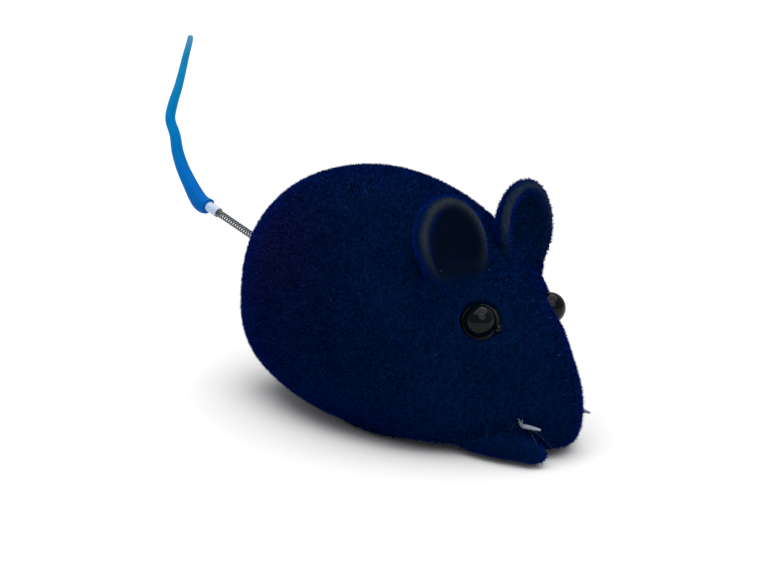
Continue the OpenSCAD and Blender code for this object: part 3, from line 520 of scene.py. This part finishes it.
def make_pile(skin, name, count, length, width):
    """Short straight fibres standing out of the skin, each one narrow blade."""
    mesh = skin.data
    mesh.calc_loop_triangles()
    tri = np.zeros(len(mesh.loop_triangles) * 3, np.int32)
    mesh.loop_triangles.foreach_get("vertices", tri)
    tri = tri.reshape(-1, 3)
    co, no = vertices(mesh), normals(mesh)
    bare = skin_masks(co, no)[0]
    keep = outside(co, no)[tri].all(1)
    a, b, c = (co[tri[:, k]] for k in range(3))
    area = np.linalg.norm(np.cross(b - a, c - a), axis=1) / 2 * keep
    area *= 1 - 0.96 * bare[tri].mean(1)
    chosen = rng.choice(len(tri), count, p=area / area.sum())
    u, v = rng.random((2, count))
    flip = u + v > 1
    u[flip], v[flip] = 1 - u[flip], 1 - v[flip]
    t = tri[chosen]

    def spread(values):
        first, second, third = (values[t[:, k]] for k in range(3))
        return first * (1 - u - v)[:, None] + second * u[:, None] + third * v[:, None]

    root, up = spread(co), spread(no)
    skin_normal = up / np.linalg.norm(up, axis=1)[:, None]
    cell = np.floor(root / TUFT_SIZE).astype(np.int64)
    tuft = (cell * CELL_HASH).sum(1) % len(TUFT_LEANS)
    up += TUFT_LEANS[tuft] + rng.normal(0, 0.2, (count, 3))
    up /= np.linalg.norm(up, axis=1)[:, None]
    across = np.cross(up, rng.normal(0, 1, (count, 3)))
    across /= np.linalg.norm(across, axis=1)[:, None]
    tall = (length * rng.uniform(0.55, 1.15, count))[:, None]
    thin = (width * rng.uniform(0.7, 1.3, count))[:, None]
    corners = [root - across * thin / 2, root + across * thin / 2, root + up * tall]
    pile = mesh_from(name, np.stack(corners, 1).reshape(-1, 3), np.arange(3 * count).reshape(-1, 3))
    pile.normals_split_custom_set(np.repeat(skin_normal, 3, 0))
    # one random number per fibre, for its painted glint and its dust
    store(pile, "glint_and_dust", np.repeat(rng.random(count), 3))
    masks = skin_masks(spread(co), spread(no))
    store(pile, "plum", np.repeat(masks[2], 3))
    obj = add(name, pile)
    dress(obj, PILE)
    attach(obj, "chassis")
    return obj


skin = make_skin()
for layer, (tall, thin) in PILE_LAYERS.items():
    make_pile(skin, f"velvet_pile_{layer}", PILE_COUNT, tall, thin)

# ---------- eyes ----------


# Section of the glue flange round a bead, in mm: radius, height above the seat
FLANGE_PROFILE = ((2.2, 0.05), (3.0, 0.0), (3.14, 0.2), (3.1, 0.5), (2.95, 0.8), (2.7, 1.0), (2.42, 1.06),
                  (2.3, 0.9))
# Waves round the glue's edge: count, share of the radius, phase
GLUE_WAVES = {"right": ((1, 0.05, 2.2), (3, 0.025, 0.4), (5, 0.02, 1.0), (8, 0.012, 2.5)),
              "left": ((1, 0.04, 0.4), (2, 0.02, 1.4), (5, 0.02, 2.0), (9, 0.012, 0.5))}


def make_glue_drop(place):
    """The shiny drop of glue squeezed out in front of the right eye."""
    profile = [(0.72 * MM * math.sin(a), 0.72 * MM * math.cos(a)) for a in np.linspace(0, np.pi, 16)]
    drop = lathe("glue_drop", profile, 32, Matrix.Diagonal((0.95, 1.05, 0.95, 1)))
    co = vertices(drop.data)
    co *= 1 + 0.08 * np.sin(co[:, :1] * 5200 + 1) * np.cos(co[:, 1:2] * 4300)
    set_vertices(drop.data, co)
    drop.data.transform(place @ Matrix.Translation(GLUE_DROP_AT))
    dress(drop, GLUE)
    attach(drop, "chassis")


def make_eye(side):
    """A glossy bead on its dark flange, with the bead of glue that holds it."""
    out = facing(EYE_TURN, EYE_TILT, side)
    low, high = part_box(f"{side}_eye_ring")
    seat = (low + high) / 2 - out * 0.4 * MM
    turn = out.to_track_quat("Z", "Y").to_matrix().to_4x4()
    place = Matrix.Translation(seat) @ turn
    angles = np.linspace(0, math.acos(-EYE_LIFT / EYE_RADIUS) - 0.03, 30)
    profile = [(EYE_RADIUS * math.sin(a), EYE_LIFT + EYE_RADIUS * math.cos(a)) for a in angles]
    profile += [(1.9 * MM, 0.02 * MM), (0.8 * MM, 0.0), (0.8 * MM, -4 * MM), (0, -4 * MM)]
    stand_for(lathe(f"{side}_bead", profile, 64, place), f"{side}_eye", BEAD)
    edge = [(r * MM, z * MM) for r, z in FLANGE_PROFILE]
    flange = lathe(f"{side}_flange", edge, 96, Matrix.Identity(4), ring=True)
    co = vertices(flange.data)
    angle = np.arctan2(co[:, 1], co[:, 0])
    lumps = sum(a * np.sin(n * angle + p) for n, a, p in GLUE_WAVES[side])
    reach = np.clip((np.hypot(co[:, 0], co[:, 1]) - 2.4 * MM) / (0.7 * MM), 0, 1)
    co[:, :2] *= (1 + reach * lumps)[:, None]
    co[:, 2] *= 1 + 1.5 * lumps
    set_vertices(flange.data, co)
    flange.data.transform(place)
    stand_for(flange, f"{side}_eye_ring", GLUE)
    if side == "right":
        make_glue_drop(place)


def lathe(name, profile, sides, place, ring=False):
    """A turned shape about Z: an open profile from pole to pole, or a closed ring of profile points."""
    profile = np.asarray(profile, float)
    turn = 2 * np.pi * np.arange(sides) / sides
    points = np.stack([profile[:, :1] * np.cos(turn), profile[:, :1] * np.sin(turn),
                       np.repeat(profile[:, 1:2], sides, 1)], 2)
    rows = len(profile)
    last = rows if ring else rows - 1
    i, k = np.meshgrid(np.arange(last), np.arange(sides), indexing="ij")
    i, k = i.ravel(), k.ravel()
    j, n = (k + 1) % sides, (i + 1) % rows
    faces = np.stack([i * sides + k, n * sides + k, n * sides + j, i * sides + j], 1)
    mesh = mesh_from(name, points.reshape(-1, 3), faces)
    work = bmesh.new()
    work.from_mesh(mesh)
    bmesh.ops.remove_doubles(work, verts=work.verts, dist=1e-7)
    bmesh.ops.recalc_face_normals(work, faces=work.faces)
    work.to_mesh(mesh)
    work.free()
    mesh.polygons.foreach_set("use_smooth", np.full(len(mesh.polygons), True))
    mesh.transform(place)
    return add(name, mesh)


for side in EYES:
    make_eye(side)

# ---------- tail ----------

TAIL_ROOT, TAIL_MIDDLE = joint("tail_yaw"), joint("tail_pitch")
TAIL_DIR = (TAIL_MIDDLE - TAIL_ROOT).normalized()
COIL_SUNK = 1.0 * MM  # how far the coil runs into the plug, and also into the collar
COIL_PITCH = 0.56 * MM
COIL_TURNS = 13.9 * MM / COIL_PITCH


def make_coil(name, node, turns_from, turns_to):
    """Half of the tail's coil spring, swept round the tail's axis from its foot."""
    radius, wire, points_per_turn = 0.5 * MM, 0.16 * MM, 22
    t = np.linspace(turns_from, turns_to, int((turns_to - turns_from) * points_per_turn))
    out = np.array(TAIL_DIR)
    wide = np.array([0.0, 1.0, 0.0])
    tall = np.cross(out, wide)
    foot = np.array(TAIL_ROOT) - out * COIL_SUNK
    path = (foot + out * (COIL_PITCH * t)[:, None] + radius * (np.cos(2 * np.pi * t)[:, None] * tall
            + np.sin(2 * np.pi * t)[:, None] * wide))
    obj = tube(name, path, wire, 8)
    dress(obj, COIL)
    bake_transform(obj)
    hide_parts(node)


stand_for(softened("tail", "rubber_tail", 0.12, 8), "tail", TAIL)
make_coil("coil_root_half", "tail_spring_inner", 0, COIL_TURNS / 2)
make_coil("coil_outer_half", "tail_spring_outer", COIL_TURNS / 2, COIL_TURNS)
# collar sleeve in the pale plastic whose colour holds painted glare
stand_for(softened("tail_collar", "collar_sleeve", 0.08, 6), "tail_collar", COLLAR_WITH_GLARE)

# ---------- whiskers ----------


# Prongs of the white tuft at a whisker root: heading outward, tilt up, length in mm
PRONGS = ((165, 55, 1.7), (120, 65, 1.3), (20, 78, 1.1), (-20, -4, 1.6), (-8, -2, 3.2), (175, 10, 1.3))


def make_whiskers(side):
    """Clear filaments from one root, and a white tuft of splayed prongs at that root."""
    low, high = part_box(f"{side}_whiskers")
    s = side_sign(side)
    root = Vector((low.x + 0.5 * MM, low.y + 0.5 * MM if s > 0 else high.y - 0.5 * MM, 5.52 * MM))
    rods = []
    for k in range(3):
        heading, tilt = math.radians(62 - 26 * k), math.radians(14 * (1 - k))
        aim = facing(heading, tilt, side)
        tip = root + aim * (10 - 1.5 * abs(k - 1)) * MM
        bow = (root + tip) / 2 + Vector((0, 0, 0.6 * MM))
        path = spline([root, bow, tip - Vector((0, 0, 0.3 * MM))], 10)
        rods.append(tube(f"{side}_filament_{k}", path, np.linspace(0.06, 0.02, len(path)) * MM, 6))
    whisker_filaments = join(f"{side}_filaments", rods)
    stand_for(whisker_filaments, f"{side}_whiskers", NYLON)
    prongs = []
    for k, (heading, tilt, length) in enumerate(PRONGS):
        heading, tilt = math.radians(heading), math.radians(tilt)
        aim = facing(heading, tilt, side)
        path = spline([root, root + aim * length * 0.6 * MM, root + aim * length * MM], 6)
        prongs.append(tube(f"{side}_prong_{k}", path, np.linspace(0.42, 0.17, len(path)) * MM, 8))
    tuft = join(f"{side}_tuft", prongs)
    dress(tuft, TUFT)
    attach(tuft, "chassis")


def join(name, parts):
    """One mesh of several objects, which it removes."""
    work = bmesh.new()
    for part in parts:
        work.from_mesh(part.data)
        bpy.data.objects.remove(part)
    mesh = bpy.data.meshes.new(name)
    work.to_mesh(mesh)
    work.free()
    return add(name, mesh)


for side in EYES:
    make_whiskers(side)

# ---------- key, wheels and base ----------

stand_for(softened("winding_key", "key_bow", 0.12, 5), "winding_key", NICKEL)
stand_for(softened("key_bushing", "bushing_ring", 0.12, 3), "key_bushing", BRASS)
stand_for(softened("base_plate", "base_moulding", 0.18, 3), "base_plate", BASE)
stand_for(softened("front_roller", "roller_drum", 0.12, 4), "front_roller", RED)
for side in EYES:
    stand_for(softened(f"{side}_drive_wheel", f"{side}_wheel_disc", 0.12, 3), f"{side}_drive_wheel", RED)


def make_tyre(side):
    """A ribbed rubber tyre on its rim."""
    node = f"{side}_drive_tyre"
    low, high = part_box(node)
    centre, outer, half = (low + high) / 2, (high.x - low.x) / 2, (high.y - low.y) / 2
    rim = outer - 1.0 * MM
    ribs, sides = 30, 240
    turn = 2 * np.pi * np.arange(sides) / sides
    groove = 0.22 * MM * (np.cos(turn * ribs) > 0.45)
    profile = [(rim, -half, 0), (outer - 0.45 * MM, -half, 0), (outer - 0.15 * MM, -half + 0.12 * MM, 0.4),
               (outer, -half + 0.35 * MM, 1), (outer, half - 0.35 * MM, 1),
               (outer - 0.15 * MM, half - 0.12 * MM, 0.4), (outer - 0.45 * MM, half, 0), (rim, half, 0)]
    points = []
    for radius, across, cut in profile:
        r = radius - groove * cut
        points.append(np.stack([centre.x + r * np.cos(turn), np.full(sides, centre.y + across),
                                centre.z + r * np.sin(turn)], 1))
    rows = len(profile)
    i, k = np.meshgrid(np.arange(rows), np.arange(sides), indexing="ij")
    i, k = i.ravel(), k.ravel()
    n, j = (i + 1) % rows, (k + 1) % sides
    faces = np.stack([i * sides + k, i * sides + j, n * sides + j, n * sides + k], 1)
    mesh = mesh_from(f"{side}_tyre_tread", np.concatenate(points), faces, smooth=False)
    stand_for(add(f"{side}_tyre_tread", mesh), node, TYRE)


for side in EYES:
    make_tyre(side)

# ---------- carried-over CAD nodes ----------

for name, obj in frame["nodes"].items():
    if not obj.hide_render:
        dress(obj, SLOT_MATERIAL[NODE_SLOT[name]])

# ---------- floor, light and camera ----------


def make_floor():
    s = Surface("white_floor", (0.93, 0.93, 0.93), 0.6, Specular_IOR_Level=0.1)
    s.feed("Base Color", s.mix(s.noise(30, 2), (0.93, 0.93, 0.93), (0.95, 0.95, 0.95)))
    half = 2.0
    corners = [(-half, -half, 0), (half, -half, 0), (half, half, 0), (-half, half, 0)]
    floor = add("floor", mesh_from("floor", corners, [(0, 1, 2, 3)], smooth=False))
    dress(floor, s.material)


def soft_sun(name, toward, spread, strength):
    """Even light from far away, as soft as the angle of sky it fills."""
    light = bpy.data.lights.new(name, "SUN")
    light.angle = math.radians(spread)
    light.energy = strength
    obj = add(name, light)
    obj.location = HEART + Vector(toward)
    obj.rotation_euler = (-Vector(toward)).to_track_quat("-Z", "Y").to_euler()


def make_world():
    world = bpy.data.worlds.new("studio")
    bpy.context.scene.world = world
    world.use_nodes = True
    background = world.node_tree.nodes["Background"]
    background.inputs["Color"].default_value = (1, 1, 1, 1)
    background.inputs["Strength"].default_value = 0.38


def make_camera():
    """The reference view: a long lens, 43 degrees round to the nose and 18 above the floor."""
    turn, rise, distance = math.radians(43.17), math.radians(17.7), 320 * MM
    back = Vector((math.sin(turn) * math.cos(rise), -math.cos(turn) * math.cos(rise), math.sin(rise)))
    right = Vector((math.cos(turn), math.sin(turn), 0))
    up = back.cross(right)
    camera = bpy.data.cameras.new("camera")
    camera.lens = 92.4
    camera.sensor_width = 36
    camera.clip_start = 0.01
    camera.clip_end = 20
    obj = add("camera", camera)
    obj.location = HEART + back * distance
    aim = HEART - right * 3.17 * MM + up * 21.7 * MM
    obj.rotation_euler = (aim - obj.location).to_track_quat("-Z", "Y").to_euler()
    bpy.context.scene.camera = obj


make_floor()
make_world()
soft_sun("overhead_softbox", (-0.05, 0.06, 0.6), 80, 2.15)
soft_sun("front_softbox", (0.45, -0.22, 0.5), 45, 0.9)
make_camera()
bpy.context.scene.view_settings.view_transform = "Standard"
